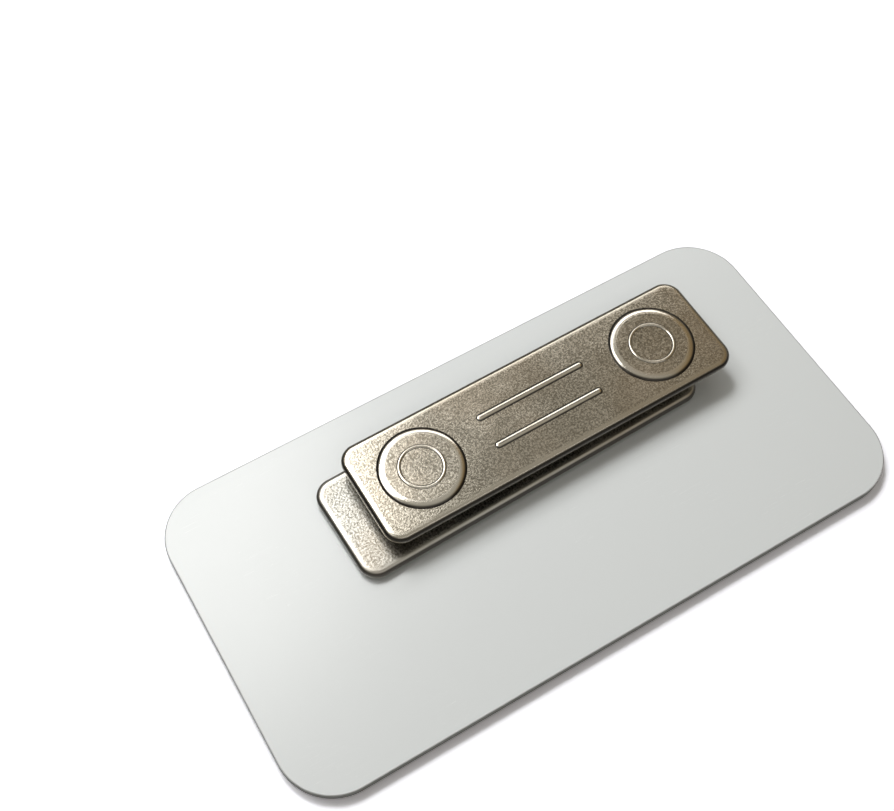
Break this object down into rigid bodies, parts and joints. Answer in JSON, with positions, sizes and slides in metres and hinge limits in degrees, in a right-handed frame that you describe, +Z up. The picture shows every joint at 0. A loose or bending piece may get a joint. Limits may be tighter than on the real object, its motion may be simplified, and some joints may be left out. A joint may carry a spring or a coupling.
{
  "type": "name badge",
  "caption": "Rectangular two-ply plastic name badge with round corners, lying face down, with a pull-off magnetic fastener on its white back.",
  "frame": {"origin": "on the surface that the badge lies on, under the middle of the plastic plate", "axes": "+X along the plate's long edge, +Y towards the edge nearest the fastener, +Z up out of the badge's back"},
  "size_m": [0.0762, 0.0382, 0.0067],
  "materials": {
    "red_ply": "satin",
    "white_core": "satin",
    "tape": "matt foam",
    "nickelled_steel": "nickel plated, fine pebble grain",
    "magnet": "nickel plated"
  },
  "bodies": {
    "badge": {"front_ply": "red_ply", "core_plate": "white_core", "adhesive_tape": "tape", "steel_plate": "nickelled_steel"},
    "holder": {"magnet_holder": "nickelled_steel", "magnet_left": "magnet", "magnet_right": "magnet"}
  },
  "joints": [
    {"name": "holder_pull", "type": "slide", "parent": "badge", "child": "holder", "axis": [0, 0, 1], "range_m": [0, 0.012]}
  ]
}
